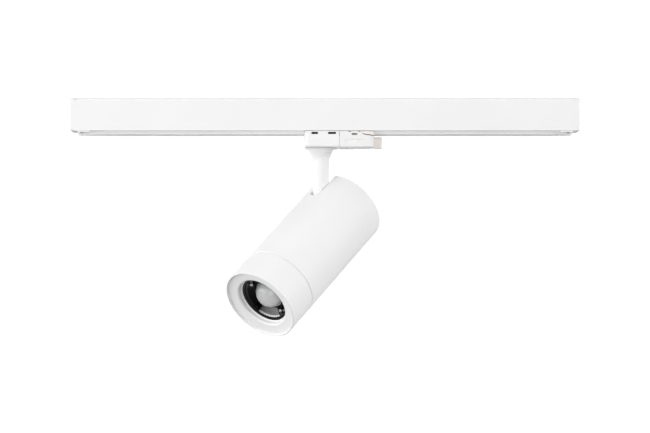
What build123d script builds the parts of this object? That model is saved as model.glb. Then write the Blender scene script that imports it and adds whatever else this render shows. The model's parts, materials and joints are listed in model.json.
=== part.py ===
"""Track spotlight: a three-circuit lighting track with its adapter, hollow stem and cylindrical head.

Frame: origin at the centre of the track's top face, +X along the track, +Z up, in millimetres.
The head is modelled in its own frame: s runs from the front rim to the rear, t is up across the
axis, and u is sideways, along the tilt pin.
"""
import os
from math import cos, radians, sin

from build123d import *

os.makedirs("parts", exist_ok=True)

# ---- driving dimensions: track ----
TRACK_LENGTH = 500.0
TRACK_WIDTH = 36.0
TRACK_HEIGHT = 32.5
TRACK_WALL = 1.8
TOP_WALL = 2.4
TOP_EDGE_SETBACK = 0.4
TOP_EDGE_HEIGHT = 0.8
TOP_GROOVE_DEPTH = 1.0
TOP_GROOVE_BOTTOM = 2.5
FLANGE_THICKNESS = 2.2
SLOT_HALF = 9.5
LIP_THICKNESS = 1.5
LIP_DROP = 3.5
LIP_RISE = 0.8
MOUNT_HOLE_RADIUS = 2.25
MOUNT_HOLE_SPACING = 200.0
END_CAP_THICKNESS = 3.0
LIP_SETBACK = 3.5
END_PLATE_LENGTH = 12.5
END_PLATE_THICKNESS = 1.5
END_PLUG_LENGTH = 11.0
END_SCREW_X = 242.0
END_SCREW_Y = 14.4
END_SCREW_RADIUS = 1.25
INSULATOR_INNER_Y = 11.3
CONDUCTOR_LEVELS = (-11.5, -20.5)
CONDUCTOR_HEIGHT = 3.0
CONDUCTOR_THICKNESS = 1.7

# ---- driving dimensions: adapter ----
PAN_X = -4.0
ADAPTER_LEFT = -20.8
ADAPTER_SEAM = 14.3
ADAPTER_RIGHT = 49.0
ADAPTER_BOTTOM = -49.0
ADAPTER_TOP = -32.9
ADAPTER_WALL = 1.7
NECK_HALF = 8.9
NECK_TOP = -8.0
DECK_BOTTOM = -37.6
LEVER_X = 37.0
LEVER_REACH = 19.9
LEVER_HALF_WIDTH = 7.0
LEVER_TOP = -38.6
LEVER_BOTTOM = -49.4
LEVER_ARM = (-46.4, -41.0)
SELECTOR_X = 29.3
SELECTOR_TRAVEL = 2.5

# ---- driving dimensions: stem and tilt joint ----
STEM_RADIUS = 8.0
STEM_HALF_THICKNESS = 6.0
STEM_BORE = 3.5
STEM_FLANGE_RADIUS = 15.5
STEM_FLARE_RADIUS = 13.2
STEM_FLARE_END = -62.5
PIVOT_Z = -97.3
PIVOT_BACK = 137.4
PIVOT_UP = 31.0
PIN_RADIUS = 3.0
RUNNING_FIT = 0.05

# ---- driving dimensions: head ----
HEAD_HEADING = 48.2
HEAD_ELEVATION = 37.8
HEAD_RADIUS = 39.15
HEAD_WALL = 2.0
HEAD_LENGTH = 162.3
SEAM_BACK = 34.3
SEAM_GAP = 0.4
RING_RADIUS = 39.05
SLOT_END_RADIUS = 8.8
HEAD_SLOT_HALF = 6.6
LENS_RADIUS = 14.4
LENS_BASE = 16.9
LENS_HEIGHT = 11.0
LENS_TRAVEL = 14.0
LENS_SCREW_PLACE = 18.95
LENS_SCREW_ANGLES = (148.0, -32.0)

# ---- derived: frames ----
heading = radians(HEAD_HEADING)
elevation = radians(HEAD_ELEVATION)
REARWARD = Vector(cos(elevation) * cos(heading), cos(elevation) * sin(heading), sin(elevation))
UPWARD = Vector(-sin(elevation) * cos(heading), -sin(elevation) * sin(heading), cos(elevation))
SIDEWAYS = Vector(sin(heading), -cos(heading), 0)
PIVOT = Vector(PAN_X, 0, PIVOT_Z)
FRONT = PIVOT - REARWARD * PIVOT_BACK - UPWARD * PIVOT_UP

section = Plane(origin=FRONT, x_dir=UPWARD, z_dir=SIDEWAYS * -1)  # local x is radius, y is s
head_axis = Axis(FRONT, REARWARD)
tilt_plane = Plane(origin=PIVOT, x_dir=Vector(cos(heading), sin(heading), 0), z_dir=SIDEWAYS)
stem_cross = Plane(origin=PIVOT, x_dir=SIDEWAYS, z_dir=Vector(cos(heading), sin(heading), 0) * -1)
pan_axis = Axis((PAN_X, 0, 0), (0, 0, 1))
track_end = Plane.YZ

half_width = TRACK_WIDTH / 2
half_length = TRACK_LENGTH / 2
cavity_half = half_width - TRACK_WALL
housing_bore = HEAD_RADIUS - HEAD_WALL


def head_point(s, t=0.0, u=0.0):
    """A point given in the head's own coordinates."""
    return FRONT + REARWARD * s + UPWARD * t + SIDEWAYS * u


def outward(angle):
    """The direction square to the head's axis at an angle from t towards u."""
    return UPWARD * cos(radians(angle)) + SIDEWAYS * sin(radians(angle))


def head_plane(s, t=0.0, u=0.0, angle=0.0):
    """The plane square to the head's axis at s, with its origin moved to t, u."""
    return Plane(origin=head_point(s, t, u), x_dir=outward(angle), z_dir=REARWARD)


def radial_plane(s, angle, radius=0.0):
    """A plane facing outwards from the head's axis, at an angle from t towards u."""
    return Plane(origin=head_point(s) + outward(angle) * radius, x_dir=REARWARD, z_dir=outward(angle))


def save(builder, name):
    """Labels a finished sub-part and writes its STEP file."""
    builder.part.label = name
    export_step(builder.part, f"parts/{name}.step")


def turned(points):
    """A solid of revolution about the head's axis, from points given as (radius, s)."""
    with BuildPart() as solid:
        with BuildSketch(section):
            with BuildLine():
                Polyline(*points, close=True)
            make_face()
        revolve(axis=head_axis)
    return solid


# ======================= track =======================
lip_outer = SLOT_HALF + LIP_THICKNESS
flange_top = -TRACK_HEIGHT + FLANGE_THICKNESS
half_profile = [
    (0, 0),
    (half_width - TOP_EDGE_SETBACK, 0),
    (half_width - TOP_EDGE_SETBACK, -TOP_EDGE_HEIGHT),
    (half_width - TOP_GROOVE_DEPTH, -TOP_EDGE_HEIGHT),
    (half_width - TOP_GROOVE_DEPTH, -TOP_GROOVE_BOTTOM),
    (half_width, -TOP_GROOVE_BOTTOM),
    (half_width, -TRACK_HEIGHT),
    (lip_outer, -TRACK_HEIGHT),
    (lip_outer, -TRACK_HEIGHT - LIP_DROP),
    (SLOT_HALF, -TRACK_HEIGHT - LIP_DROP),
    (SLOT_HALF, flange_top + LIP_RISE),
    (lip_outer, flange_top + LIP_RISE),
    (lip_outer, flange_top),
    (cavity_half, flange_top),
    (cavity_half, -TOP_WALL),
    (0, -TOP_WALL),
]
screw_places = GridLocations(2 * END_SCREW_X, 2 * END_SCREW_Y, 2, 2)
with BuildPart() as track_profile:
    with BuildSketch(track_end.offset(-half_length)):
        with BuildLine():
            Polyline(*half_profile, close=True)
        make_face()
        mirror(about=Plane.YZ)
    extrude(amount=TRACK_LENGTH)
    with BuildSketch(Plane.XY.offset(-TRACK_HEIGHT)):
        with GridLocations(TRACK_LENGTH - LIP_SETBACK, 0, 2, 1):
            Rectangle(LIP_SETBACK, 2 * lip_outer + 1)
    extrude(amount=-LIP_DROP, mode=Mode.SUBTRACT)
    with BuildSketch(Plane.XY):
        with GridLocations(MOUNT_HOLE_SPACING, 0, 2, 1):
            Circle(MOUNT_HOLE_RADIUS)
    extrude(amount=-TOP_WALL, mode=Mode.SUBTRACT)
    with BuildSketch(Plane.XY.offset(-TRACK_HEIGHT)):
        with screw_places:
            Circle(END_SCREW_RADIUS + RUNNING_FIT)
    extrude(amount=FLANGE_THICKNESS, mode=Mode.SUBTRACT)
save(track_profile, "track_profile")

insulator_outer = cavity_half - 0.1
insulator_depth = insulator_outer - INSULATOR_INNER_Y
conductor_y = insulator_outer - 1.5 - CONDUCTOR_THICKNESS / 2
for side, side_name in ((-1, "front"), (1, "rear")):
    with BuildPart() as insulator:
        with BuildSketch(track_end.offset(-half_length)):
            with Locations((side * (INSULATOR_INNER_Y + insulator_depth / 2), -16)):
                Rectangle(insulator_depth, 22)
            groove_depth = conductor_y + CONDUCTOR_THICKNESS / 2 - INSULATOR_INNER_Y
            with Locations(*[(side * (INSULATOR_INNER_Y + groove_depth / 2), z) for z in CONDUCTOR_LEVELS]):
                Rectangle(groove_depth, CONDUCTOR_HEIGHT, mode=Mode.SUBTRACT)
        extrude(amount=TRACK_LENGTH)
    save(insulator, f"track_insulator_{side_name}")
    with BuildPart() as conductors:
        with BuildSketch(track_end.offset(-half_length + 6)):
            with Locations(*[(side * conductor_y, z) for z in CONDUCTOR_LEVELS]):
                Rectangle(CONDUCTOR_THICKNESS, CONDUCTOR_HEIGHT)
        extrude(amount=TRACK_LENGTH - 12)
    save(conductors, f"track_conductors_{side_name}")

wing_levels = (-29.4, -27.1)
for side, side_name in ((-1, "left"), (1, "right")):
    end_x = side * half_length
    with BuildPart() as end_cap:
        with BuildSketch(track_end.offset(end_x)):
            with Locations((0, -TRACK_HEIGHT / 2)):
                RectangleRounded(TRACK_WIDTH, TRACK_HEIGHT, 0.6)
        extrude(amount=side * END_CAP_THICKNESS)
        with BuildSketch(track_end.offset(end_x)):
            with Locations((0, (wing_levels[1] - 5.0) / 2)):
                Rectangle(2 * INSULATOR_INNER_Y - 0.6, -5.0 - wing_levels[1])
            with Locations((0, sum(wing_levels) / 2)):
                Rectangle(2 * cavity_half - 0.4, wing_levels[1] - wing_levels[0])
        extrude(amount=-side * END_PLUG_LENGTH)
        with BuildSketch(Plane.XY.offset(wing_levels[0])):
            with screw_places:
                Circle(END_SCREW_RADIUS + RUNNING_FIT)
        extrude(amount=wing_levels[1] - wing_levels[0], mode=Mode.SUBTRACT)
    save(end_cap, f"end_cap_{side_name}")

# two small plates under each end's flanges, which the end cap's screws pass through
plate_width = half_width - lip_outer - 1.1
plate_x = half_length - LIP_SETBACK - END_PLATE_LENGTH / 2
with BuildPart() as end_plates:
    with BuildSketch(Plane.XY.offset(-TRACK_HEIGHT)):
        with GridLocations(2 * plate_x, 2 * lip_outer + plate_width + 0.6, 2, 2):
            RectangleRounded(END_PLATE_LENGTH, plate_width, 0.8)
        with screw_places:
            Circle(END_SCREW_RADIUS + RUNNING_FIT, mode=Mode.SUBTRACT)
    extrude(amount=-END_PLATE_THICKNESS)
save(end_plates, "end_plates")

recess_depth = 0.8
with BuildPart() as end_cap_screws:
    with BuildSketch(Plane.XY.offset(wing_levels[1] - 0.3)):
        with screw_places:
            Circle(END_SCREW_RADIUS)
    extrude(amount=-TRACK_HEIGHT - END_PLATE_THICKNESS - wing_levels[1] + 0.3)
    with BuildSketch(Plane.XY.offset(-TRACK_HEIGHT - END_PLATE_THICKNESS)):
        with screw_places:
            Circle(2 * END_SCREW_RADIUS)
    extrude(amount=-1.2, taper=20)
    with BuildSketch(Plane.XY.offset(-TRACK_HEIGHT - END_PLATE_THICKNESS - 1.2)):
        with screw_places:
            Rectangle(2.2, 0.45)
            Rectangle(0.45, 2.2)
    extrude(amount=recess_depth, mode=Mode.SUBTRACT)
save(end_cap_screws, "end_cap_screws")


# ======================= adapter =======================
floor_thickness = 3.0
floor_top = ADAPTER_BOTTOM + floor_thickness
left_right_edge = ADAPTER_SEAM - 0.2
left_centre = (ADAPTER_LEFT + left_right_edge) / 2
left_length = left_right_edge - ADAPTER_LEFT
right_left_edge = ADAPTER_SEAM + 0.2
right_centre = (right_left_edge + ADAPTER_RIGHT) / 2
right_length = ADAPTER_RIGHT - right_left_edge
lip_groove_bottom = -TRACK_HEIGHT - LIP_DROP - 0.4
lip_groove_width = LIP_THICKNESS + 0.6
lip_centre = SLOT_HALF + LIP_THICKNESS / 2
latch_slots = ((-10.2, 6.5), (7.0, 8.0))
latch_slot_z = (-36.0, -33.9)
stop_radius = 13.8


def box_between(low, high, mode=Mode.ADD):
    """A box from its lowest to its highest corner, inside the current part."""
    low, high = Vector(*low), Vector(*high)
    size = high - low
    with Locations((low + high) / 2):
        Box(size.X, size.Y, size.Z, mode=mode)


def cut_lip_grooves():
    """Clearance in the adapter's top for the track's two lips."""
    for y in (-lip_centre, lip_centre):
        box_between((ADAPTER_LEFT - 1, y - lip_groove_width / 2, lip_groove_bottom),
                    (ADAPTER_RIGHT + 1, y + lip_groove_width / 2, ADAPTER_TOP + 1), Mode.SUBTRACT)


with BuildPart() as pan_housing:
    with BuildSketch(Plane.XY.offset(ADAPTER_BOTTOM)):
        with Locations((left_centre, 0)):
            Rectangle(left_length, TRACK_WIDTH)
    extrude(amount=ADAPTER_TOP - ADAPTER_BOTTOM)
    fillet(pan_housing.edges().filter_by(Axis.Z).group_by(Axis.X)[0], 5.5)
    rim = pan_housing.faces().sort_by(Axis.Z)[0].edges().sort_by(Axis.X)
    fillet(rim[:-1], 2.2)
    with BuildSketch(Plane.XY.offset(floor_top)):
        with Locations((left_centre, 0)):
            RectangleRounded(left_length - 2 * ADAPTER_WALL, TRACK_WIDTH - 2 * ADAPTER_WALL, 2.0)
    extrude(amount=ADAPTER_TOP - floor_top, mode=Mode.SUBTRACT)
    for slot_x, slot_length in latch_slots:
        box_between((slot_x - slot_length / 2, -half_width - 1, latch_slot_z[0]),
                    (slot_x + slot_length / 2, half_width + 1, latch_slot_z[1]), Mode.SUBTRACT)
    box_between((0, -NECK_HALF - 0.3, lip_groove_bottom), (left_right_edge + 1, NECK_HALF + 0.3, 0),
                Mode.SUBTRACT)
    cut_lip_grooves()
    with BuildSketch(Plane.XY.offset(floor_top)):
        with Locations((PAN_X - stop_radius, 0)):
            Circle(1.2)
    extrude(amount=5.0)
    with BuildSketch(Plane.XY.offset(ADAPTER_BOTTOM)):
        with Locations((PAN_X, 0)):
            Circle(STEM_RADIUS + RUNNING_FIT)
    extrude(amount=floor_thickness, mode=Mode.SUBTRACT)
save(pan_housing, "pan_housing")

latch_plate_top = lip_groove_bottom
with BuildPart() as latch_frame:
    with BuildSketch(Plane.XY.offset(latch_plate_top - 1.8)):
        with Locations((left_centre, 0)):
            RectangleRounded(left_length - 2 * ADAPTER_WALL - 0.4, TRACK_WIDTH - 2 * ADAPTER_WALL - 0.4, 1.8)
        with Locations((PAN_X, 0)):
            Circle(6.0, mode=Mode.SUBTRACT)
    extrude(amount=1.8)
    for slot_x, slot_length in latch_slots:
        for side in (-1, 1):
            inner, wall, tip = 12.0, half_width - ADAPTER_WALL - 0.2, half_width - 0.7
            low_y, high_y = sorted((side * inner, side * wall))
            box_between((slot_x - slot_length / 2 + 0.2, low_y, latch_plate_top),
                        (slot_x + slot_length / 2 - 0.2, high_y, latch_slot_z[1] - 0.2))
            low_y, high_y = sorted((side * wall, side * tip))
            box_between((slot_x - slot_length / 2 + 0.2, low_y, latch_slot_z[0] + 0.2),
                        (slot_x + slot_length / 2 - 0.2, high_y, latch_slot_z[1] - 0.2))
save(latch_frame, "latch_frame")

lever_sweep = (12.1, 22.6)
shaft_radius = 2.5
lever_gap_x = LEVER_X - LEVER_HALF_WIDTH - 0.4
lever_gap_y = -LEVER_HALF_WIDTH - 0.4
window_x = (20.6, 38.0)
window_top = -41.1
window_wall = 0.6
window_bottom = -45.2
window_sag = -46.3
slope_start = (37.4, -36.1)
slope_end = (ADAPTER_RIGHT, -38.5)
wedge_start = (37.6, -35.4)
wedge_end = (48.5, -36.9)
top_notches = ((23.4, 25.8), (33.2, 35.2))
notch_depth = 0.9
notch_reach = -12.0
front_slot = ((26.6, -half_width - 1, -36.9), (32.1, -10.0, -35.0))
cavity_left, cavity_bottom = 16.3, -47.4
slider_cavity = ((cavity_left, -16.4, cavity_bottom), (42.4, -8.8, ADAPTER_TOP))
plate_pocket = ((15.0, -half_width + window_wall, cavity_bottom), (43.6, -16.0, -38.6))
cover_screws = ((22.0, 2.0), (22.0, 13.0))


def cut_lever_gap(top):
    """The open corner that the lever's paddle swings through, and the slot that its arm turns in."""
    with BuildSketch(Plane.XY.offset(ADAPTER_BOTTOM - 1)) as gap:
        with Locations((LEVER_X, 0)):
            Circle(lever_sweep[1])
        with Locations((lever_gap_x + 25, lever_gap_y + 25)):
            Rectangle(50, 50, mode=Mode.INTERSECT)
        with Locations((LEVER_X, 0)):
            Circle(lever_sweep[0], mode=Mode.SUBTRACT)
    extrude(gap.sketch, amount=top - ADAPTER_BOTTOM + 1, mode=Mode.SUBTRACT)
    with BuildSketch(Plane.XY.offset(LEVER_ARM[0] - 0.2)) as arm_slot:
        with Locations((LEVER_X, 0)):
            Circle(lever_sweep[0] + 1)
        with Locations((LEVER_X + 13, 13)):
            Rectangle(40, 40, mode=Mode.INTERSECT)
    extrude(arm_slot.sketch, amount=LEVER_ARM[1] - LEVER_ARM[0] + 0.4, mode=Mode.SUBTRACT)
    with BuildSketch(Plane.XY.offset(LEVER_ARM[1])) as shaft_hole:
        with Locations((LEVER_X, 0)):
            Circle(shaft_radius + RUNNING_FIT)
    extrude(shaft_hole.sketch, amount=DECK_BOTTOM - LEVER_ARM[1], mode=Mode.SUBTRACT)


def cut_front_openings():
    """The slot and the notches in the front, which run through the cover into the core."""
    box_between(*front_slot, mode=Mode.SUBTRACT)
    for notch_start, notch_end in top_notches:
        box_between((notch_start, -half_width - 1, ADAPTER_TOP - notch_depth), (notch_end, notch_reach, 0),
                    Mode.SUBTRACT)


with BuildPart() as adapter_cover:
    with BuildSketch(Plane.XY.offset(ADAPTER_BOTTOM)):
        with Locations((right_centre, 0)):
            Rectangle(right_length, TRACK_WIDTH)
    extrude(amount=ADAPTER_TOP - ADAPTER_BOTTOM)
    front_corner = adapter_cover.edges().filter_by(Axis.Z).group_by(Axis.X)[-1].sort_by(Axis.Y)[0]
    fillet(front_corner, 5.0)
    chamfer(adapter_cover.faces().sort_by(Axis.Z)[0].edges(), 0.8)
    box_between((right_left_edge - 1, -half_width + 1.4, DECK_BOTTOM),
                (ADAPTER_RIGHT + 1, half_width - 1.4, 0), Mode.SUBTRACT)
    box_between(*slider_cavity, mode=Mode.SUBTRACT)
    box_between(*plate_pocket, mode=Mode.SUBTRACT)
    cut_front_openings()
    box_between((cavity_left, -7.2, cavity_bottom), (28.0, half_width - 1.6, ADAPTER_TOP), Mode.SUBTRACT)
    with BuildSketch(Plane.XZ.offset(half_width + 1)):
        with BuildLine():
            Polyline((window_x[0], window_bottom), (window_x[0], window_top), (window_x[1], window_top),
                     (window_x[1], window_bottom))
            ThreePointArc((window_x[1], window_bottom), (sum(window_x) / 2, window_sag),
                          (window_x[0], window_bottom))
        make_face()
    extrude(amount=-4.0, mode=Mode.SUBTRACT)
    with BuildSketch(Plane.XZ.offset(half_width + 1)):
        with BuildLine():
            Polyline(slope_start, (slope_end[0] + 1, slope_end[1]), (slope_end[0] + 1, 0),
                     (slope_start[0], 0), close=True)
        make_face()
    extrude(amount=-2 * half_width - 2, mode=Mode.SUBTRACT)
    cut_lever_gap(ADAPTER_TOP + 1)
    cut_lip_grooves()
    with BuildSketch(Plane.XY.offset(ADAPTER_BOTTOM)):
        with Locations(*cover_screws):
            Circle(3.0)
    extrude(amount=DECK_BOTTOM - ADAPTER_BOTTOM)
    with BuildSketch(Plane.XY.offset(ADAPTER_BOTTOM)):
        with Locations(*cover_screws):
            Circle(1.3)
    extrude(amount=DECK_BOTTOM - ADAPTER_BOTTOM, mode=Mode.SUBTRACT)
    with BuildSketch(Plane.XY.offset(ADAPTER_BOTTOM)):
        with Locations(*cover_screws):
            Circle(2.3)
    extrude(amount=1.6, mode=Mode.SUBTRACT)
save(adapter_cover, "adapter_cover")

with BuildPart() as adapter_screws:
    with BuildSketch(Plane.XY.offset(ADAPTER_BOTTOM + 0.2)):
        with Locations(*cover_screws):
            Circle(2.2)
            RegularPolygon(0.9, 6, mode=Mode.SUBTRACT)
    extrude(amount=1.4)
    with BuildSketch(Plane.XY.offset(ADAPTER_BOTTOM + 1.6)):
        with Locations(*cover_screws):
            Circle(1.25)
    extrude(amount=13.0)
save(adapter_screws, "adapter_screws")

neck_left, neck_right = -17.0, 46.0
contact_x = (-9.0, 5.0)
cam_levels = (-29.2, -27.3)
cam_reach = 13.4
gap_reach = 7.0
contact_reach = conductor_y - CONDUCTOR_THICKNESS / 2 - 0.1
# the core's exposed corner above the sloping gap
with BuildPart() as wedge:
    with BuildSketch(Plane.XZ.offset(half_width - 0.2)):
        with BuildLine():
            Polyline(wedge_start, wedge_end, (wedge_end[0], ADAPTER_TOP - 0.1),
                     (wedge_start[0], ADAPTER_TOP - 0.1), close=True)
        make_face()
    extrude(amount=-2 * half_width + 0.4)
    fillet(wedge.edges().filter_by(Axis.Z).group_by(Axis.X)[-1], 4.5)

with BuildPart() as adapter_core:
    box_between((neck_left, -NECK_HALF, lip_groove_bottom), (neck_right, NECK_HALF, NECK_TOP))
    fillet(adapter_core.edges().filter_by(Axis.Z), 2.0)
    chamfer(adapter_core.faces().sort_by(Axis.Z)[-1].edges(), 1.0)
    box_between((neck_left + 1.8, -NECK_HALF + 1.8, lip_groove_bottom),
                (22.0, NECK_HALF - 1.8, NECK_TOP - 1.8), Mode.SUBTRACT)
    box_between((right_left_edge + 0.3, -half_width + 1.6, DECK_BOTTOM + 0.1),
                (ADAPTER_RIGHT - 0.2, half_width - 1.6, ADAPTER_TOP - 0.1))
    add(wedge.part)
    with BuildSketch(Plane.XZ.offset(half_width + 1)):
        with BuildLine():
            Polyline((slope_start[0], slope_start[1] - 2), (slope_end[0] + 1, slope_end[1] - 2),
                     (slope_end[0] + 1, wedge_end[1]), wedge_end, wedge_start,
                     (slope_start[0], wedge_start[1]), close=True)
        make_face()
    extrude(amount=-half_width + gap_reach, mode=Mode.SUBTRACT)
    cut_front_openings()
    cut_lip_grooves()
    box_between((16.5, -13.0, DECK_BOTTOM), (27.8, 6.5, lip_groove_bottom - 0.3), Mode.SUBTRACT)
    with BuildSketch(Plane.XY.offset(cam_levels[0] - 0.3)):
        with Locations((LEVER_X, 0)):
            Circle(cam_reach + 0.4)
    extrude(amount=cam_levels[1] - cam_levels[0] + 0.6, mode=Mode.SUBTRACT)
    with BuildSketch(Plane.XY.offset(DECK_BOTTOM)):
        with Locations((LEVER_X, 0)):
            Circle(shaft_radius + RUNNING_FIT)
    extrude(amount=16.0, mode=Mode.SUBTRACT)
    with BuildSketch(Plane.XY.offset(DECK_BOTTOM)):
        with Locations(*cover_screws):
            Circle(1.3)
    extrude(amount=6.0, mode=Mode.SUBTRACT)
    for level, x in zip(CONDUCTOR_LEVELS, contact_x):
        box_between((x - 2.2, -NECK_HALF - 1, level - 1.0), (x + 2.2, NECK_HALF + 1, level + 1.0),
                    Mode.SUBTRACT)
    for low_y, high_y in ((-NECK_HALF - 1, -NECK_HALF + 0.4), (NECK_HALF - 0.4, NECK_HALF + 1)):
        box_between((neck_left - 1, low_y, -34.2), (neck_left + 9, high_y, -30.4), Mode.SUBTRACT)
save(adapter_core, "adapter_core")

for side, side_name in ((-1, "front"), (1, "rear")):
    with BuildPart() as contacts:
        for level, x in zip(CONDUCTOR_LEVELS, contact_x):
            low_y, high_y = sorted((side * 5.0, side * contact_reach))
            box_between((x - 2.0, low_y, level - 0.8), (x + 2.0, high_y, level + 0.8))
        tips = contacts.edges().filter_by(Axis.Z).group_by(Axis.Y)[0 if side < 0 else -1]
        fillet(tips, 1.2)
    save(contacts, f"phase_contacts_{side_name}")

with BuildPart() as earth_contacts:
    for side in (-1, 1):
        low_y, high_y = sorted((side * (NECK_HALF - 0.4), side * (SLOT_HALF - 0.1)))
        box_between((neck_left + 1, low_y, -34.0), (neck_left + 8.5, high_y, -30.6))
save(earth_contacts, "earth_contacts")

with BuildPart() as selector_frame:
    bridge_reach = SELECTOR_TRAVEL + 2.0
    box_between((17.0, -14.0, -47.2), (42.2, -13.0, -38.4))
    box_between((SELECTOR_X - bridge_reach, -15.0, -44.0), (SELECTOR_X + bridge_reach, -12.0, -41.4),
                Mode.SUBTRACT)
save(selector_frame, "selector_frame")

with BuildPart() as selector_terminals:
    for step in (-SELECTOR_TRAVEL, 0, SELECTOR_TRAVEL):
        box_between((SELECTOR_X + step - 1.0, -11.2, -43.8), (SELECTOR_X + step + 1.0, -8.8, -41.6))
save(selector_terminals, "selector_terminals")

plate_front = half_width - window_wall - 0.1
with BuildPart() as circuit_selector:
    box_between((SELECTOR_X - 11.5, -plate_front, -47.0), (SELECTOR_X + 11.5, -16.4, -39.0))
    box_between((SELECTOR_X - 8.0, -16.4, -47.0), (SELECTOR_X + 8.0, -14.3, -39.0))
    with BuildSketch(Plane.XZ.offset(plate_front)):
        with Locations((SELECTOR_X, -43.2)):
            SlotOverall(7.6, 3.4)
    extrude(amount=0.4, taper=12)
save(circuit_selector, "circuit_selector")

with BuildPart() as selector_bridge:
    box_between((SELECTOR_X - 1.5, -14.3, -43.6), (SELECTOR_X + 1.5, -11.4, -41.8))
save(selector_bridge, "selector_bridge")

# ---- locking lever, its shaft and the cam that turns above the lips ----
with BuildPart() as lever_shaft:
    with BuildSketch(Plane.XY.offset(LEVER_ARM[0] + 1.0)):
        with Locations((LEVER_X, 0)):
            Circle(shaft_radius)
    extrude(amount=cam_levels[1] + 1.0 - LEVER_ARM[0])
save(lever_shaft, "lever_shaft")

with BuildPart() as lock_cam:
    with BuildSketch(Plane.XY.offset(cam_levels[0])):
        with Locations((LEVER_X, 0)):
            SlotOverall(2 * cam_reach, 9.0, rotation=90)
            Circle(shaft_radius, mode=Mode.SUBTRACT)
    extrude(amount=cam_levels[1] - cam_levels[0])
save(lock_cam, "lock_cam")

paddle_left = ADAPTER_RIGHT + 0.2 - LEVER_X
with BuildPart() as locking_lever:
    with BuildSketch(Plane.XY.offset(LEVER_ARM[0])):
        with Locations((LEVER_X, 0)):
            Circle(6.6)
        with Locations((LEVER_X + paddle_left / 2, 0)):
            Rectangle(paddle_left, 9.0)
    extrude(amount=LEVER_ARM[1] - LEVER_ARM[0])
    with BuildSketch(Plane.XY.offset(LEVER_BOTTOM)):
        with Locations((LEVER_X + (paddle_left + LEVER_REACH) / 2, 0)):
            Rectangle(LEVER_REACH - paddle_left, 2 * LEVER_HALF_WIDTH)
    extrude(amount=LEVER_TOP - LEVER_BOTTOM)
    fillet(locking_lever.edges().filter_by(Axis.Z).group_by(Axis.X)[-1], 1.8)
    with BuildSketch(Plane.XY.offset(LEVER_ARM[0] + 1.0)):
        with Locations((LEVER_X, 0)):
            Circle(shaft_radius)
    extrude(amount=LEVER_ARM[1] - LEVER_ARM[0], mode=Mode.SUBTRACT)
    grip_edges = locking_lever.faces().sort_by(Axis.X)[-1].edges()
    fillet(grip_edges.filter_by(Axis.Y), 0.9)
save(locking_lever, "locking_lever")

# ======================= stem and pan joint =======================
flange_top_z = ADAPTER_BOTTOM - 0.3
spigot_top = -38.6
nut_levels = (-43.4, -40.4)
facet_start = -54.5
facet_end = -57.5
with BuildPart() as stem:
    with BuildSketch(Plane(origin=(PAN_X, 0, 0), x_dir=(1, 0, 0), z_dir=(0, -1, 0))):
        with BuildLine():
            Polyline((0, spigot_top), (STEM_RADIUS, spigot_top), (STEM_RADIUS, flange_top_z),
                     (STEM_FLANGE_RADIUS, flange_top_z), (STEM_FLANGE_RADIUS, flange_top_z - 0.6),
                     (STEM_FLARE_RADIUS, flange_top_z - 0.8))
            Spline((STEM_FLARE_RADIUS, flange_top_z - 0.8), (10.9, -53.4), (STEM_RADIUS, STEM_FLARE_END),
                   tangents=((-1, -0.7), (0, -1)))
            Polyline((STEM_RADIUS, STEM_FLARE_END), (STEM_RADIUS, PIVOT_Z - STEM_RADIUS - 1),
                     (0, PIVOT_Z - STEM_RADIUS - 1), (0, spigot_top))
        make_face()
    revolve(axis=pan_axis)
    top_y, bottom_y = spigot_top - PIVOT_Z + 1, -STEM_RADIUS - 1
    with BuildSketch(stem_cross):
        with BuildLine():
            Polyline((0, top_y), (20, top_y), (20, facet_start - PIVOT_Z + 3.0),
                     (STEM_HALF_THICKNESS + 2.2, facet_start - PIVOT_Z),
                     (STEM_HALF_THICKNESS, facet_end - PIVOT_Z), (STEM_HALF_THICKNESS, bottom_y),
                     (0, bottom_y), close=True)
        make_face()
        mirror(about=Plane.YZ)
    extrude(amount=20, both=True, mode=Mode.INTERSECT)
    with BuildSketch(tilt_plane):
        with Locations((0, 40)):
            Rectangle(60, 80)
        Circle(STEM_RADIUS)
    extrude(amount=20, both=True, mode=Mode.INTERSECT)
    with BuildSketch(tilt_plane):
        Circle(PIN_RADIUS + RUNNING_FIT)
    extrude(amount=20, both=True, mode=Mode.SUBTRACT)
    with BuildSketch(Plane.XY.offset(spigot_top)):
        with Locations((PAN_X, 0)):
            Circle(STEM_BORE)
    extrude(amount=PIVOT_Z + 9.0 - spigot_top, mode=Mode.SUBTRACT)
    with BuildSketch(tilt_plane):
        with Locations((5.0, 10.5)):
            RectangleRounded(10.0, 5.0, 2.4)
    extrude(amount=2.5, both=True, mode=Mode.SUBTRACT)
save(stem, "stem")

with BuildPart() as pan_nut:
    with BuildSketch(Plane.XY.offset(nut_levels[0])):
        with Locations((PAN_X, 0)):
            Circle(11.4)
        with Locations((PAN_X + 12.4, 0)):
            Rectangle(4.4, 3.0)
        with Locations((PAN_X, 0)):
            Circle(STEM_RADIUS + 0.02, mode=Mode.SUBTRACT)
    extrude(amount=nut_levels[1] - nut_levels[0])
save(pan_nut, "pan_nut")

with BuildPart() as pan_washer:
    with BuildSketch(Plane.XY.offset(floor_top + 0.1)):
        with Locations((PAN_X, 0)):
            Circle(11.0)
            Circle(STEM_RADIUS + 0.3, mode=Mode.SUBTRACT)
    extrude(amount=nut_levels[0] - floor_top - 0.1)
save(pan_washer, "pan_washer")

with BuildPart() as supply_leads:
    with BuildSketch(Plane.XY.offset(spigot_top + 0.6)):
        with Locations((PAN_X, 0)):
            with PolarLocations(1.6, 3):
                Circle(1.1)
    extrude(amount=PIVOT_Z + 10.0 - spigot_top - 0.6)
save(supply_leads, "supply_leads")

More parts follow.
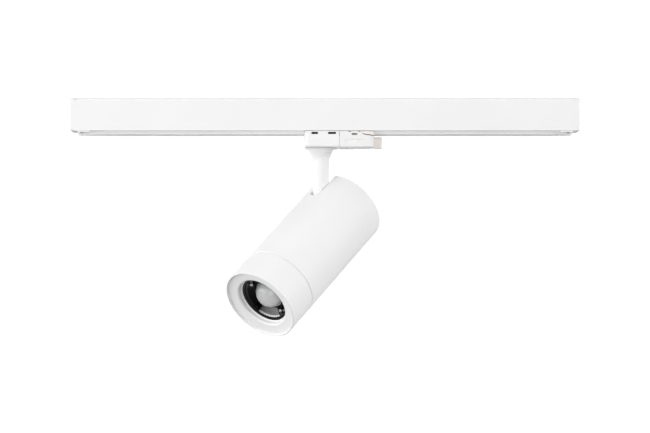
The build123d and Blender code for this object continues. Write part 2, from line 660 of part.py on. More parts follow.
# ======================= head: housing =======================
ring_back = SEAM_BACK - SEAM_GAP / 2
tube_front = SEAM_BACK + SEAM_GAP / 2
cap_front, cap_back = 159.6, 161.4
bracket_front, bracket_back = 124.0, cap_front - 0.1
bracket_floor = 20.0
bracket_thickness = 2.4
edge_break = 0.5

with BuildPart() as housing_tube:
    with BuildSketch(section):
        with BuildLine():
            Polyline((housing_bore, tube_front), (HEAD_RADIUS - edge_break, tube_front),
                     (HEAD_RADIUS, tube_front + edge_break), (HEAD_RADIUS, HEAD_LENGTH - edge_break),
                     (HEAD_RADIUS - edge_break, HEAD_LENGTH), (housing_bore, HEAD_LENGTH), close=True)
        make_face()
    revolve(axis=head_axis)
    with BuildSketch(Plane(origin=head_point(PIVOT_BACK, HEAD_RADIUS / 2), x_dir=REARWARD, z_dir=UPWARD)):
        Circle(SLOT_END_RADIUS)
        with Locations((HEAD_RADIUS, 0)):
            Rectangle(2 * HEAD_RADIUS, 2 * HEAD_SLOT_HALF)
        Rectangle(4 * HEAD_RADIUS, 2 * HEAD_SLOT_HALF, mode=Mode.INTERSECT)
    extrude(amount=HEAD_RADIUS, mode=Mode.SUBTRACT)
save(housing_tube, "housing_tube")

cap_screw_places = ((26.0, 12.5), (26.0, -12.5), (-30.0, 0.0))
cap_screw_radius = 1.5
with BuildPart() as rear_cap:
    with BuildSketch(head_plane(cap_front)):
        Circle(housing_bore - 0.05)
        with Locations((40 + 22.2, 0)):
            Rectangle(80, 2 * HEAD_SLOT_HALF, mode=Mode.SUBTRACT)
        with Locations(*cap_screw_places):
            Circle(cap_screw_radius + RUNNING_FIT, mode=Mode.SUBTRACT)
        with GridLocations(7.0, 26.0, 5, 2):
            SlotOverall(20.0, 2.6, rotation=90, mode=Mode.SUBTRACT)
    extrude(amount=cap_back - cap_front)
save(rear_cap, "rear_cap")

with BuildPart() as rear_cap_screws:
    with BuildSketch(head_plane(cap_back)):
        with Locations(*cap_screw_places):
            Circle(2.7)
            RegularPolygon(1.1, 6, mode=Mode.SUBTRACT)
    extrude(amount=0.8)
    with BuildSketch(head_plane(cap_back)):
        with Locations(*cap_screw_places):
            Circle(cap_screw_radius)
    extrude(amount=-4.0)
save(rear_cap_screws, "rear_cap_screws")

# ---- tilt bracket: a channel around the stem's end, behind the slot ----
cheek_inner = HEAD_SLOT_HALF
cheek_outer = cheek_inner + 2.5
with BuildPart() as tilt_bracket:
    with BuildSketch(head_plane(bracket_front)):
        with Locations(((bracket_floor + 35.7) / 2, 0)):
            Rectangle(35.7 - bracket_floor, 2 * cheek_outer)
    extrude(amount=bracket_back - bracket_front)
    with BuildSketch(head_plane(bracket_front + bracket_thickness)):
        with Locations((bracket_floor + bracket_thickness + 20, 0)):
            Rectangle(40, 2 * cheek_inner)
    extrude(amount=60, mode=Mode.SUBTRACT)
    with BuildSketch(head_plane(bracket_back)):
        with Locations((26.0, 12.5), (26.0, -12.5)):
            Rectangle(7.0, 8.0)
    extrude(amount=-3.0)
    with BuildSketch(head_plane(bracket_back)):
        with Locations(*cap_screw_places[:2]):
            Circle(cap_screw_radius + RUNNING_FIT)
    extrude(amount=-3.0, mode=Mode.SUBTRACT)
    with BuildSketch(head_plane(bracket_back)):
        with Locations((bracket_floor + bracket_thickness + 20, 0)):
            Rectangle(40, 2 * cheek_inner)
    extrude(amount=-3.0, mode=Mode.SUBTRACT)
    with BuildSketch(tilt_plane):
        Circle(PIN_RADIUS)
    extrude(amount=20, both=True, mode=Mode.SUBTRACT)
save(tilt_bracket, "tilt_bracket")

with BuildPart() as tilt_pin:
    with BuildSketch(tilt_plane.offset(-cheek_outer)):
        Circle(PIN_RADIUS)
    extrude(amount=2 * cheek_outer + 2.4)
    with BuildSketch(tilt_plane.offset(-cheek_outer)):
        Circle(4.2)
        RegularPolygon(1.7, 6, mode=Mode.SUBTRACT)
    extrude(amount=-1.6)
save(tilt_pin, "tilt_pin")

with BuildPart() as tilt_nut:
    with BuildSketch(tilt_plane.offset(cheek_outer)):
        RegularPolygon(4.2, 6)
        Circle(PIN_RADIUS, mode=Mode.SUBTRACT)
    extrude(amount=2.0)
save(tilt_nut, "tilt_nut")

with BuildPart() as tilt_washers:
    for side in (-1, 1):
        with BuildSketch(tilt_plane.offset(side * (STEM_HALF_THICKNESS + 0.1))):
            Circle(7.2)
            Circle(PIN_RADIUS + 0.1, mode=Mode.SUBTRACT)
        extrude(amount=side * 0.45)
save(tilt_washers, "tilt_washers")

# ---- light engine and driver inside the head ----
sink_front, sink_base, sink_back = 75.0, 80.0, 97.0
with BuildPart() as heat_sink:
    with BuildSketch(head_plane(sink_front)):
        Circle(housing_bore)
    extrude(amount=sink_base - sink_front)
    with BuildSketch(head_plane(sink_base)):
        with GridLocations(7.4, 0, 9, 1):
            Rectangle(1.8, 2 * housing_bore)
        Circle(housing_bore - 0.6, mode=Mode.INTERSECT)
    extrude(amount=sink_back - sink_base)
save(heat_sink, "heat_sink")

cob_size = 20.0
with BuildPart() as led_board:
    with BuildSketch(head_plane(sink_front - 1.4)):
        Rectangle(cob_size, cob_size)
    extrude(amount=1.4)
save(led_board, "led_board")

with BuildPart() as led_emitter:
    with BuildSketch(head_plane(sink_front - 1.9)):
        Circle(8.4)
    extrude(amount=0.5)
save(led_emitter, "led_emitter")

with BuildPart() as led_holder:
    with BuildSketch(head_plane(72.0)):
        Circle(20.0)
        Circle(9.6, mode=Mode.SUBTRACT)
    extrude(amount=sink_front - 72.0)
    with BuildSketch(head_plane(sink_front)):
        Rectangle(cob_size + 0.2, cob_size + 0.2)
    extrude(amount=-1.5, mode=Mode.SUBTRACT)
save(led_holder, "led_holder")

reflector = turned([(9.7, 72.0), (11.2, 72.0), (25.0, 52.0), (27.0, 52.0), (27.0, 51.2), (24.2, 51.2)])
save(reflector, "reflector")

with BuildPart() as led_leads:
    with BuildSketch(head_plane(sink_base + 0.2)):
        with Locations((-11.1, 4.0), (-11.1, -4.0)):
            Circle(0.9)
    extrude(amount=18.6)
save(led_leads, "led_leads")

driver_front, driver_back = 99.0, 151.0
driver_centre_t, driver_size_t, driver_size_u = -3.5, 41.0, 44.0
driver_wall = 1.5
tab_t = -29.0
with BuildPart() as driver_case:
    with BuildSketch(head_plane(driver_front, driver_centre_t)):
        RectangleRounded(driver_size_t, driver_size_u, 2.0)
    extrude(amount=driver_back - driver_front)
    with BuildSketch(head_plane(driver_front + driver_wall, driver_centre_t)):
        Rectangle(driver_size_t - 2 * driver_wall, driver_size_u - 2 * driver_wall)
    extrude(amount=driver_back - driver_front - 2 * driver_wall, mode=Mode.SUBTRACT)
    with BuildSketch(head_plane(cap_front, tab_t)):
        Rectangle(10.5, 7.0)
    extrude(amount=driver_back - 6.0 - cap_front)
    with BuildSketch(head_plane(cap_front, cap_screw_places[2][0])):
        Circle(cap_screw_radius + RUNNING_FIT)
    extrude(amount=-5.0, mode=Mode.SUBTRACT)
save(driver_case, "driver_case")

with BuildPart() as driver_board:
    with BuildSketch(head_plane(driver_front + 3.0, -14.0)):
        Rectangle(1.6, 38.0)
    extrude(amount=driver_back - driver_front - 6.0)
save(driver_board, "driver_board")

board_top = -14.0 + 0.8
with BuildPart() as driver_components:
    for s_mid, u_mid, length, width, height in (
        (112.0, -6.0, 15.0, 18.0, 14.0),
        (130.0, 8.0, 12.0, 14.0, 10.0),
        (143.0, -8.0, 8.0, 12.0, 7.0),
    ):
        with BuildSketch(head_plane(s_mid - length / 2, board_top + height / 2, u_mid)):
            Rectangle(height, width)
        extrude(amount=length)
    with BuildSketch(Plane(origin=head_point(128.0, board_top, -9.0), x_dir=REARWARD, z_dir=UPWARD)):
        Circle(4.5)
    extrude(amount=16.0)
save(driver_components, "driver_components")

# ---- optic tube, with three straight slots that guide the lens carrier ----
optic_inner, optic_outer = 33.0, 34.6
pin_s = 26.0
pin_radius = 1.5
pin_reach = 35.4
optic_front = 13.9
optic = turned([(optic_inner, optic_front), (optic_outer, optic_front), (optic_outer, 72.6), (36.9, 72.6),
                (36.9, sink_front), (optic_inner, sink_front)])
with BuildPart() as optic_tube:
    add(optic.part)
    for angle in (30, 150, 270):
        with BuildSketch(radial_plane(pin_s + LENS_TRAVEL / 2, angle, optic_inner - 1)):
            SlotOverall(LENS_TRAVEL + 2 * pin_radius + 0.6, 2 * pin_radius + 0.3)
        extrude(amount=4.0, mode=Mode.SUBTRACT)
save(optic_tube, "optic_tube")

# ======================= lens carrier: slides along the optic tube =======================
carrier_outer = optic_inner - RUNNING_FIT
lens_screw_radius = 0.8
lens_screw_head = 1.75
lens_screw_end = 19.8
carrier_front, carrier_back = 17.15, 42.0
web_back = 20.6
carrier_inner = 31.3
carrier = turned([
    (15.35, carrier_front), (carrier_outer, carrier_front), (carrier_outer, carrier_back),
    (carrier_inner, carrier_back), (carrier_inner, web_back), (14.0, web_back), (14.0, 19.45), (15.35, 19.45),
])
with BuildPart() as lens_carrier:
    add(carrier.part)
    for angle in (30, 150, 270):
        with BuildSketch(radial_plane(pin_s, angle, 30.0)):
            Circle(pin_radius)
        extrude(amount=4.0, mode=Mode.SUBTRACT)
    for angle in LENS_SCREW_ANGLES:
        with BuildSketch(head_plane(carrier_front, angle=angle)):
            with Locations((LENS_SCREW_PLACE, 0)):
                Circle(lens_screw_radius + RUNNING_FIT)
        extrude(amount=lens_screw_end + 0.1 - carrier_front, mode=Mode.SUBTRACT)
save(lens_carrier, "lens_carrier")

with BuildPart() as follower_pins:
    for angle in (30, 150, 270):
        with BuildSketch(radial_plane(pin_s, angle, carrier_inner)):
            Circle(pin_radius)
        extrude(amount=pin_reach - carrier_inner)
save(follower_pins, "follower_pins")

dome_front = LENS_BASE - LENS_HEIGHT
dome_radius = (LENS_RADIUS**2 + LENS_HEIGHT**2) / (2 * LENS_HEIGHT)
with BuildPart() as lens:
    with BuildSketch(section):
        with BuildLine():
            Polyline((0, dome_front), (0, web_back), (13.0, 19.4), (15.3, 19.4), (15.3, 17.2),
                     (LENS_RADIUS, 17.2), (LENS_RADIUS, LENS_BASE))
            RadiusArc((LENS_RADIUS, LENS_BASE), (0, dome_front), dome_radius)
        make_face()
    revolve(axis=head_axis)
save(lens, "lens")

dish_edge, dish_hole = 21.0, 14.75
retainer_outer, retainer_back = 23.1, carrier_front - 0.05
boss_front, boss_radius = 11.65, 2.15
head_height, cross_depth = 0.75, 0.4
dish = turned([
    (dish_edge, 10.95), (dish_hole, retainer_back - 0.15), (dish_hole, retainer_back),
    (retainer_outer, retainer_back), (retainer_outer, 12.2), (dish_edge, 12.0),
])
with BuildPart() as lens_retainer:
    add(dish.part)
    for angle in LENS_SCREW_ANGLES:
        with BuildSketch(head_plane(boss_front, angle=angle)):
            with Locations((LENS_SCREW_PLACE, 0)):
                Circle(boss_radius)
        extrude(amount=retainer_back - boss_front)
        with BuildSketch(head_plane(boss_front, angle=angle)):
            with Locations((LENS_SCREW_PLACE, 0)):
                Circle(lens_screw_head + 0.1)
        extrude(amount=-2.0, mode=Mode.SUBTRACT)
        with BuildSketch(head_plane(boss_front, angle=angle)):
            with Locations((LENS_SCREW_PLACE, 0)):
                Circle(lens_screw_radius + RUNNING_FIT)
        extrude(amount=retainer_back - boss_front, mode=Mode.SUBTRACT)
save(lens_retainer, "lens_retainer")

with BuildPart() as lens_screws:
    for angle in LENS_SCREW_ANGLES:
        with BuildSketch(head_plane(boss_front, angle=angle)):
            with Locations((LENS_SCREW_PLACE, 0)):
                Circle(lens_screw_radius)
        extrude(amount=lens_screw_end - boss_front)
        with BuildSketch(head_plane(boss_front, angle=angle)):
            with Locations((LENS_SCREW_PLACE, 0)):
                Circle(lens_screw_head)
        extrude(amount=-head_height, taper=25)
        with BuildSketch(head_plane(boss_front - head_height, angle=angle)):
            with Locations((LENS_SCREW_PLACE, 0)):
                Rectangle(1.7, 0.4, rotation=30)
                Rectangle(0.4, 1.7, rotation=30)
        extrude(amount=cross_depth, mode=Mode.SUBTRACT)
save(lens_screws, "lens_screws")

# ======================= focus ring: turns on the housing's front spigot =======================
spigot_inner, spigot_outer = 35.6, housing_bore - 0.1
spigot_back = 43.0
seat_radius = 36.95
seat_front, seat_back = 2.6, 5.6
focus_ring = turned([
    (37.95, 0.25), (38.15, 0.0), (RING_RADIUS - 0.55, 0.0), (RING_RADIUS, 0.55),
    (RING_RADIUS, ring_back - 0.3), (RING_RADIUS - 0.3, ring_back), (spigot_outer, ring_back),
    (spigot_outer, 38.0), (36.15, 38.0), (36.15, 39.2), (spigot_outer, 39.2), (spigot_outer, spigot_back),
    (spigot_inner, spigot_back), (spigot_inner, seat_back), (seat_radius, seat_back),
    (seat_radius, seat_front), (37.95, seat_front),
])
save(focus_ring, "focus_ring")

with BuildPart() as focus_o_ring:
    with BuildSketch(section):
        with Locations((36.62, 38.6)):
            Circle(0.45)
    revolve(axis=head_axis)
save(focus_o_ring, "focus_o_ring")

bezel_back = 8.6
front_bezel = turned([
    (seat_radius - 0.05, 2.8), (36.6, 2.62), (27.9, 3.35), (26.7, 4.55), (26.55, 7.3), (25.35, bezel_back),
    (28.2, bezel_back), (30.0, 6.6), (35.5, 6.6), (35.5, 5.5), (seat_radius - 0.05, 5.5),
])
save(front_bezel, "front_bezel")

cup_front = bezel_back + 0.1
cup_back = 11.3
cup_outer, cup_inner = 28.1, 21.25
glare_cup = turned([
    (cup_outer, cup_front), (25.3, cup_front), (23.3, 9.2), (23.1, 10.4), (22.9, 10.4), (22.65, 9.8),
    (cup_inner, cup_back - 0.15), (cup_inner, cup_back), (23.3, cup_back + 0.2), (25.0, 13.1),
    (cup_outer, 10.5),
])
save(glare_cup, "glare_cup")
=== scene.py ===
"""The track spotlight's looks: materials, a floor, soft studio light and the camera.

Everything is in metres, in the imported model's frame: +X along the track, +Z up, origin at the centre
of the track's top face.
"""
import json
import math

import bmesh
import bpy
from mathutils import Matrix, Vector


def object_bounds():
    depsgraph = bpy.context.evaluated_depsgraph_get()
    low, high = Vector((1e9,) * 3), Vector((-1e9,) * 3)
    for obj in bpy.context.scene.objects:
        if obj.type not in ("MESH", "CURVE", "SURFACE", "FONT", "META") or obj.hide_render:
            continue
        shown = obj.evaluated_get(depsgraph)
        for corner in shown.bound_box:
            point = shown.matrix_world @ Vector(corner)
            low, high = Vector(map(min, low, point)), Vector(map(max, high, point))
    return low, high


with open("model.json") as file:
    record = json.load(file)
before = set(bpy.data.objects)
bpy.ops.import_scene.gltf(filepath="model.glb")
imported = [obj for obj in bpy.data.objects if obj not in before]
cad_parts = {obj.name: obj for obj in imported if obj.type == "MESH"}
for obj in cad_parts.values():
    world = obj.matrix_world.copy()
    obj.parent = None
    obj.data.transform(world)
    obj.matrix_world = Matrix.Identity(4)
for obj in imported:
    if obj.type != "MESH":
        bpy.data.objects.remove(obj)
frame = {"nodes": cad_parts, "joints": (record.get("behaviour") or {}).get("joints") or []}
cad_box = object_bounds()

# the head's directions at rest, and the point on its axis at the front
JOINTS = {joint["name"]: joint for joint in frame["joints"]}
REARWARD = Vector(JOINTS["focus_turn"]["axis"]).normalized()
SIDEWAYS = Vector(JOINTS["tilt"]["axis"]).normalized()
UPWARD = SIDEWAYS.cross(REARWARD)
FRONT = Vector(JOINTS["focus_turn"]["pos_m"])


# ======================= building blocks for materials =======================
# noise seldom leaves this range, so it is spread from one end of it to the other
NOISE_LOW, NOISE_HIGH = 0.3, 0.7
# a higher start leaves more of the surface without the stain or frost
PATCH_LOW = 0.35
BEVEL_SAMPLES = 4


def add_node(tree, kind, inputs=None, **settings):
    """A shader node, with each input given as a value or as the socket that feeds it."""
    node = tree.nodes.new(kind)
    for name, value in settings.items():
        setattr(node, name, value)
    for name, value in (inputs or {}).items():
        if isinstance(value, bpy.types.NodeSocket):
            tree.links.new(value, node.inputs[name])
        else:
            node.inputs[name].default_value = value
    return node


def new_material(name, **sockets):
    """A material with its node tree and Principled node, constants set on the shader's own sockets."""
    made = bpy.data.materials.new(name)
    made.use_nodes = True
    shader = made.node_tree.nodes["Principled BSDF"]
    for socket, value in sockets.items():
        shader.inputs[socket.replace("_", " ")].default_value = value
    return made, made.node_tree, shader


def place(tree, stretch=(1, 1, 1)):
    """Object coordinates in metres, stretched along each axis."""
    coordinates = add_node(tree, "ShaderNodeTexCoord").outputs["Object"]
    mapping = add_node(tree, "ShaderNodeMapping", {"Vector": coordinates, "Scale": stretch})
    return mapping.outputs["Vector"]


def noise(tree, where, scale, detail=3.0, roughness=0.5):
    """A noise value between 0 and 1, with features about 1/scale metres across."""
    inputs = {"Vector": where, "Scale": scale, "Detail": detail, "Roughness": roughness}
    return add_node(tree, "ShaderNodeTexNoise", inputs).outputs["Fac"]


def cells(tree, scale, **settings):
    """The distance from the nearest of a field of points about 1/scale metres apart."""
    inputs = {"Vector": place(tree), "Scale": scale}
    return add_node(tree, "ShaderNodeTexVoronoi", inputs, **settings).outputs["Distance"]


def spread(tree, value, low, high, to_low, to_high):
    """value between low and high, mapped to the range to_low..to_high."""
    inputs = {"Value": value, "From Min": low, "From Max": high, "To Min": to_low, "To Max": to_high}
    return add_node(tree, "ShaderNodeMapRange", inputs).outputs["Result"]


def combine(tree, operation, first, second):
    """Two values combined by a Math node."""
    made = add_node(tree, "ShaderNodeMath", operation=operation)
    tree.links.new(first, made.inputs[0])
    tree.links.new(second, made.inputs[1])
    return made.outputs[0]


def scaled(color, factor):
    """A colour made lighter or darker, up to white."""
    return tuple(min(channel * factor, 1.0) for channel in color)


def tint(tree, shader, value, first, second):
    """The shader's colour between two shades, chosen by value."""
    made = add_node(tree, "ShaderNodeMix", {"Factor": value}, data_type="RGBA")
    made.inputs[6].default_value = (*first, 1)
    made.inputs[7].default_value = (*second, 1)
    tree.links.new(made.outputs[2], shader.inputs["Base Color"])


def emboss(tree, shader, height, depth, strength, edge=0.0):
    """The shader's normal bumped by height, depth metres deep, over edges rounded by a small radius."""
    inputs = {"Height": height, "Distance": depth, "Strength": strength}
    if edge:
        bevel = add_node(tree, "ShaderNodeBevel", {"Radius": edge}, samples=BEVEL_SAMPLES)
        inputs["Normal"] = bevel.outputs["Normal"]
    tree.links.new(add_node(tree, "ShaderNodeBump", inputs).outputs["Normal"], shader.inputs["Normal"])


def roughen(tree, shader, value, low, high, rough):
    """The shader's roughness between the two of rough, as value goes from low to high."""
    tree.links.new(spread(tree, value, low, high, *rough), shader.inputs["Roughness"])


# ======================= materials =======================
def powder_coat(name, color, grain=1900.0):
    """Baked white powder: a fine even orange peel, satin, with faint clouding."""
    made, tree, shader = new_material(name, Specular_IOR_Level=0.35, Coat_Weight=0.06, Coat_Roughness=0.35)
    where = place(tree)
    clouds = spread(tree, noise(tree, where, scale=16.0), NOISE_LOW, NOISE_HIGH, 0, 1)
    tint(tree, shader, clouds, scaled(color, 0.985), scaled(color, 1.01))
    peel = noise(tree, where, grain, detail=2.0, roughness=0.55)
    roughen(tree, shader, peel, NOISE_LOW, NOISE_HIGH, (0.46, 0.58))
    emboss(tree, shader, peel, depth=0.00003, strength=0.5, edge=0.00018)
    return made


def moulded(name, color, rough=(0.4, 0.5), grain=3200.0, depth=0.00001, **sockets):
    """Moulded plastic with a fine spark-eroded texture and soft edges."""
    made, tree, shader = new_material(name, **sockets)
    where = place(tree)
    flow = spread(tree, noise(tree, where, scale=45.0, detail=2.0), NOISE_LOW, NOISE_HIGH, 0, 1)
    tint(tree, shader, flow, scaled(color, 0.98), scaled(color, 1.01))
    texture = noise(tree, where, grain, detail=2.0, roughness=0.6)
    roughen(tree, shader, texture, NOISE_LOW, NOISE_HIGH, rough)
    emboss(tree, shader, texture, depth, strength=0.5, edge=0.00015)
    return made


def drawn(name, color, rough, stretch, depth=0.00001, metallic=1.0, grain=900.0, tarnish=0.93):
    """Drawn, brushed or extruded stock: long fine lines along the stretched axis, and a little tarnish."""
    made, tree, shader = new_material(name, Metallic=metallic)
    lines = noise(tree, place(tree, stretch), grain, detail=4.0, roughness=0.6)
    stains = spread(tree, noise(tree, place(tree), scale=90.0), PATCH_LOW, NOISE_HIGH, 0, 1)
    tint(tree, shader, stains, color, scaled(color, tarnish))
    roughen(tree, shader, lines, NOISE_LOW, NOISE_HIGH, rough)
    emboss(tree, shader, lines, depth, strength=0.4, edge=0.0001)
    return made


def phosphor():
    """Yellow phosphor over a packed grid of emitter chips."""
    made, tree, shader = new_material("phosphor", Roughness=0.55)
    glow = spread(tree, cells(tree, scale=700.0), 0, 0.6, 0, 1)
    tint(tree, shader, glow, (0.95, 0.72, 0.12), (0.88, 0.58, 0.06))
    emboss(tree, shader, glow, depth=0.00005, strength=0.4)
    return made


def circuit_board():
    """Green solder mask over copper tracks."""
    made, tree, shader = new_material("circuit_board", Coat_Weight=0.4, Coat_Roughness=0.1)
    copper = spread(tree, cells(tree, scale=320.0, distance="MANHATTAN"), 0.42, 0.5, 0, 1)
    tint(tree, shader, copper, (0.02, 0.13, 0.05), (0.05, 0.24, 0.09))
    roughen(tree, shader, copper, 0, 1, (0.3, 0.4))
    emboss(tree, shader, copper, depth=0.00003, strength=0.4)
    return made


# how far the lens's painted light and shade reach each way from its middle, and how far down the painted
# light's direction leans
LENS_REACH = 0.012
LENS_SLANT = 0.8
# the lens's painted shade and painted light colours, for its darker and its paler side
LENS_PAINTED_SHADE, LENS_PAINTED_LIGHT = (0.44, 0.445, 0.45), (0.86, 0.86, 0.86)


def lens_plastic():
    """Clear acrylic with a frosted back: a milky dome with painted light and shade, paler on the side away
    from the slot.
    """
    made, tree, shader = new_material(
        "lens_plastic", IOR=1.49, Specular_IOR_Level=0.45, Transmission_Weight=0.1, Coat_Weight=0.45,
        Coat_Roughness=0.3)
    where = place(tree)
    frost = spread(tree, noise(tree, where, scale=420.0), PATCH_LOW, NOISE_HIGH, -0.08, 0.08)
    # the direction in which the lens's painted light grows paler: sideways and down, away from the slot
    painted_light_way = (SIDEWAYS - UPWARD * LENS_SLANT).normalized()
    across = add_node(tree, "ShaderNodeVectorMath", operation="DOT_PRODUCT")
    tree.links.new(where, across.inputs[0])
    across.inputs[1].default_value = painted_light_way
    middle = FRONT.dot(painted_light_way)
    painted_light_side = spread(tree, across.outputs["Value"], middle - LENS_REACH, middle + LENS_REACH, 0, 1)
    # painted light and shade: paler towards that side of the lens and darker on the other, over the random
    # frost
    tint(tree, shader, combine(tree, "ADD", painted_light_side, frost), LENS_PAINTED_SHADE, LENS_PAINTED_LIGHT)
    roughen(tree, shader, frost, 0, 1, (0.32, 0.42))
    emboss(tree, shader, frost, depth=0.00002, strength=0.3)
    return made


WHITE = (0.885, 0.885, 0.885)
BRIGHT_WHITE = (0.89, 0.89, 0.89)
COVER_WHITE = (0.865, 0.865, 0.865)
IVORY = (0.92, 0.86, 0.82)
PALE = (0.90, 0.895, 0.885)
GREY = (0.62, 0.63, 0.64)
DEEP_BLACK = (0.001, 0.001, 0.001)
ALONG_X = (0.02, 1, 1)
ALONG_Z = (1, 1, 0.02)
EVENLY = (1, 1, 1)

looks = {
    "track": powder_coat("track_powder", WHITE),
    "coat": powder_coat("housing_powder", WHITE),
    "white": moulded("white_plastic", BRIGHT_WHITE, Specular_IOR_Level=0.4),
    "cover": moulded("cover_plastic", COVER_WHITE, Specular_IOR_Level=0.4),
    "bezel": moulded("bezel_plastic", BRIGHT_WHITE, (0.38, 0.46), Specular_IOR_Level=0.4),
    "ivory": moulded("ivory_plastic", IVORY, (0.42, 0.55)),
    "pale": moulded("pale_plastic", PALE, (0.4, 0.5)),
    "pvc": drawn("grey_pvc", GREY, (0.5, 0.65), ALONG_X, metallic=0.0),
    "black": moulded("black_plastic", (0.006, 0.006, 0.006), (0.5, 0.65), Specular_IOR_Level=0.12),
    "gloss": moulded("black_gloss", DEEP_BLACK, (0.04, 0.06), 700.0, 0.000002, Specular_IOR_Level=0.6),
    "dish": moulded("black_satin", DEEP_BLACK, (0.07, 0.1), 700.0, 0.000002, Specular_IOR_Level=0.15),
    "anodised": drawn("black_anodised", (0.02, 0.02, 0.02), (0.35, 0.5), EVENLY, metallic=0.3),
    "nylon": moulded("nylon", (0.72, 0.71, 0.66), (0.55, 0.7)),
    "copper": drawn("copper", (0.80, 0.42, 0.26), (0.22, 0.4), ALONG_X, tarnish=0.7),
    "steel": drawn("zinc_plated_steel", GREY, (0.25, 0.4), ALONG_Z),
    "screw": drawn("spring_steel", (0.80, 0.80, 0.80), (0.12, 0.22), EVENLY, grain=1500.0),
    "raw": drawn("raw_aluminium", (0.72, 0.73, 0.74), (0.3, 0.45), (1, 1, 0.1)),
    "mirror": drawn("polished_aluminium", (0.88, 0.88, 0.89), (0.05, 0.1), EVENLY, depth=0.000002),
    "phosphor": phosphor(),
    "board": circuit_board(),
    "component": moulded("component_epoxy", (0.03, 0.03, 0.033), (0.35, 0.5)),
    "lead": moulded("silicone_lead", (0.72, 0.72, 0.70), (0.5, 0.65)),
    "rubber": moulded("nitrile_rubber", (0.02, 0.02, 0.02), (0.6, 0.75)),
    "lens": lens_plastic(),
}

node_looks = {
    "track": ["track_profile"],
    "coat": ["housing_tube", "focus_ring", "stem", "rear_cap", "tilt_bracket"],
    "white": ["end_cap_left", "end_cap_right", "end_plates", "pan_housing", "led_holder", "driver_case"],
    "cover": ["adapter_cover"],
    "bezel": ["front_bezel"],
    "ivory": ["adapter_core", "locking_lever", "selector_frame"],
    "pale": ["circuit_selector"],
    "pvc": ["track_insulator_front", "track_insulator_rear"],
    "black": ["latch_frame", "lens_carrier"],
    "gloss": ["glare_cup"],
    "dish": ["lens_retainer"],
    "anodised": ["optic_tube"],
    "nylon": ["tilt_washers"],
    "copper": ["track_conductors_front", "track_conductors_rear", "phase_contacts_front",
               "phase_contacts_rear", "earth_contacts", "selector_terminals", "selector_bridge"],
    "steel": ["end_cap_screws", "adapter_screws", "lever_shaft", "lock_cam", "pan_nut", "pan_washer",
              "rear_cap_screws", "tilt_pin", "tilt_nut", "follower_pins"],
    "screw": ["lens_screws"],
    "raw": ["heat_sink", "led_board"],
    "mirror": ["reflector"],
    "phosphor": ["led_emitter"],
    "board": ["driver_board"],
    "component": ["driver_components"],
    "lead": ["supply_leads", "led_leads"],
    "rubber": ["focus_o_ring"],
    "lens": ["lens"],
}
for look, node_names in node_looks.items():
    for node_name in node_names:
        mesh = frame["nodes"][node_name].data
        mesh.materials.clear()
        mesh.materials.append(looks[look])


# ======================= studio =======================
CENTRE = Vector((0, 0, -0.12))
CAMERA_PLACE = Vector((0, -2.5764, -0.2118))
CAMERA_PITCH = math.radians(92.098)
FOCAL_LENGTH = 142.84
SENSOR_WIDTH = 36.0

FLOOR_DROP = 3.0
FLOOR_RADIUS = 6.0
FLOOR_SIDES = 64
FLOOR_RINGS = 8
FLOOR_LIFT = 0.01

# the surroundings' brightness in front of the lamp and behind it, and the share left overhead and underfoot
WALL_FRONT, WALL_BEHIND = 0.1, 1.06
LEVEL_SHARE, STEEP_SHARE = 1.0, 0.06

# name, direction from the lamp, distance, width, length and power
LIGHTS = (
    ("upper_left_light", (-0.560, -0.522, 0.643), 2.4, 0.8, 0.8, 14.5),
    ("low_front_light", (0.0, -1.0, -0.14), 2.4, 0.6, 0.6, 14.0),
    ("low_left_light", (-0.85, -0.45, -0.35), 2.4, 0.8, 0.8, 2.0),
    ("right_light", (1.0, -0.25, 0.15), 2.4, 1.2, 1.2, 18.0),
    ("right_front_light", (0.740, -0.621, 0.259), 2.4, 0.8, 0.8, 11.0),
    ("top_light", (0.0, -0.1, 1.0), 2.2, 1.4, 1.4, 8.4),
)
# a bank of lights along the arc that the black dish mirrors towards the camera
DISH_TILT = math.radians(44)
BANK_START, BANK_STEP, BANK_COUNT = math.radians(-18), math.radians(7.7), 9
BANK_DISTANCE, BANK_WIDTH, BANK_LENGTH = 2.4, 0.26, 0.5
BANK_POWER, BANK_SWELL = 1.8, 2.6


def floor():
    """A round pale floor far below the lamp, slightly dished up at its edge."""
    mesh = bpy.data.meshes.new("studio_floor")
    made = bmesh.new()
    centre = made.verts.new((0, 0, 0))
    inner = None
    for step in range(1, FLOOR_RINGS + 1):
        radius = FLOOR_RADIUS * step / FLOOR_RINGS
        lift = FLOOR_LIFT * (step / FLOOR_RINGS) ** 4
        outer = []
        for side in range(FLOOR_SIDES):
            turn = 2 * math.pi * side / FLOOR_SIDES
            outer.append(made.verts.new((radius * math.cos(turn), radius * math.sin(turn), lift)))
        for side in range(FLOOR_SIDES):
            following = (side + 1) % FLOOR_SIDES
            if inner is None:
                made.faces.new((centre, outer[side], outer[following]))
            else:
                made.faces.new((inner[side], outer[side], outer[following], inner[following]))
        inner = outer
    made.to_mesh(mesh)
    made.free()
    piece = bpy.data.objects.new("studio_floor", mesh)
    piece.location = (0, 0, cad_box[0][2] - FLOOR_DROP)
    bpy.context.scene.collection.objects.link(piece)
    mesh.materials.append(moulded("floor_paint", (0.75, 0.75, 0.75), (0.6, 0.7), grain=40.0))


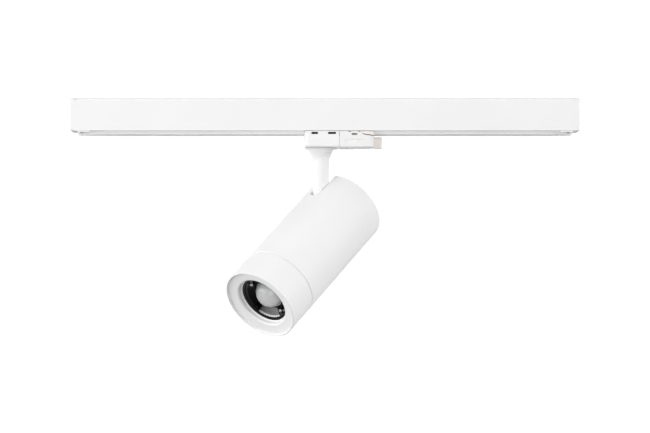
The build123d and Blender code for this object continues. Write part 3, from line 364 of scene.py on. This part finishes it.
def surroundings():
    """A white wall behind the lamp and dim walls in front of it, darker overhead and underfoot."""
    world = bpy.data.worlds.new("studio")
    world.use_nodes = True
    tree = world.node_tree
    background = tree.nodes["Background"]
    background.inputs["Color"].default_value = (1, 1, 1, 1)
    direction = add_node(tree, "ShaderNodeTexCoord").outputs["Generated"]
    parts = add_node(tree, "ShaderNodeSeparateXYZ", {"Vector": direction})
    steepness = combine(tree, "MULTIPLY", parts.outputs["Z"], parts.outputs["Z"])
    level = spread(tree, steepness, 0, 1, LEVEL_SHARE, STEEP_SHARE)
    wall = spread(tree, parts.outputs["Y"], -1, 1, WALL_FRONT, WALL_BEHIND)
    tree.links.new(combine(tree, "MULTIPLY", wall, level), background.inputs["Strength"])
    bpy.context.scene.world = world


def softbox(name, direction, distance, width, length, power, along=(0, 0, 1), target=CENTRE):
    """A soft light that points at target and isn't seen by the camera, its length turned towards along."""
    light = bpy.data.lights.new(name, "AREA")
    light.shape = "RECTANGLE"
    light.size = width
    light.size_y = length
    light.energy = power
    piece = bpy.data.objects.new(name, light)
    toward = Vector(direction).normalized()
    piece.location = target + toward * distance
    lengthways = (Vector(along) - toward * toward.dot(Vector(along))).normalized()
    axes = Matrix((lengthways.cross(toward), lengthways, toward)).transposed()
    piece.rotation_euler = axes.to_euler()
    piece.visible_camera = False
    bpy.context.scene.collection.objects.link(piece)


def mirrored(turn):
    """The direction that the dish round the lens mirrors towards the camera, at an angle round the head."""
    to_camera = (CAMERA_PLACE - FRONT).normalized()
    outward = UPWARD * math.cos(turn) + SIDEWAYS * math.sin(turn)
    facing = outward * math.sin(DISH_TILT) - REARWARD * math.cos(DISH_TILT)
    return facing * (2 * facing.dot(to_camera)) - to_camera


def dish_lights():
    """The bank of lights, brightest in its middle."""
    for step in range(BANK_COUNT):
        turn = BANK_START + BANK_STEP * step
        power = BANK_POWER + BANK_SWELL * math.sin(math.pi * (step + 0.5) / BANK_COUNT)
        onward = mirrored(turn + BANK_STEP) - mirrored(turn)
        softbox(f"bank_light_{step}", mirrored(turn), BANK_DISTANCE, BANK_WIDTH, BANK_LENGTH, power,
                onward, FRONT)


def add_camera():
    """The camera, level with the head and looking slightly up at the track."""
    data = bpy.data.cameras.new("camera")
    data.sensor_width = SENSOR_WIDTH
    data.lens = FOCAL_LENGTH
    camera = bpy.data.objects.new("camera", data)
    camera.location = CAMERA_PLACE
    camera.rotation_euler = (CAMERA_PITCH, 0, 0)
    bpy.context.scene.collection.objects.link(camera)
    bpy.context.scene.camera = camera


floor()
surroundings()
for light in LIGHTS:
    softbox(*light)
dish_lights()
add_camera()
bpy.context.scene.view_settings.view_transform = "Standard"
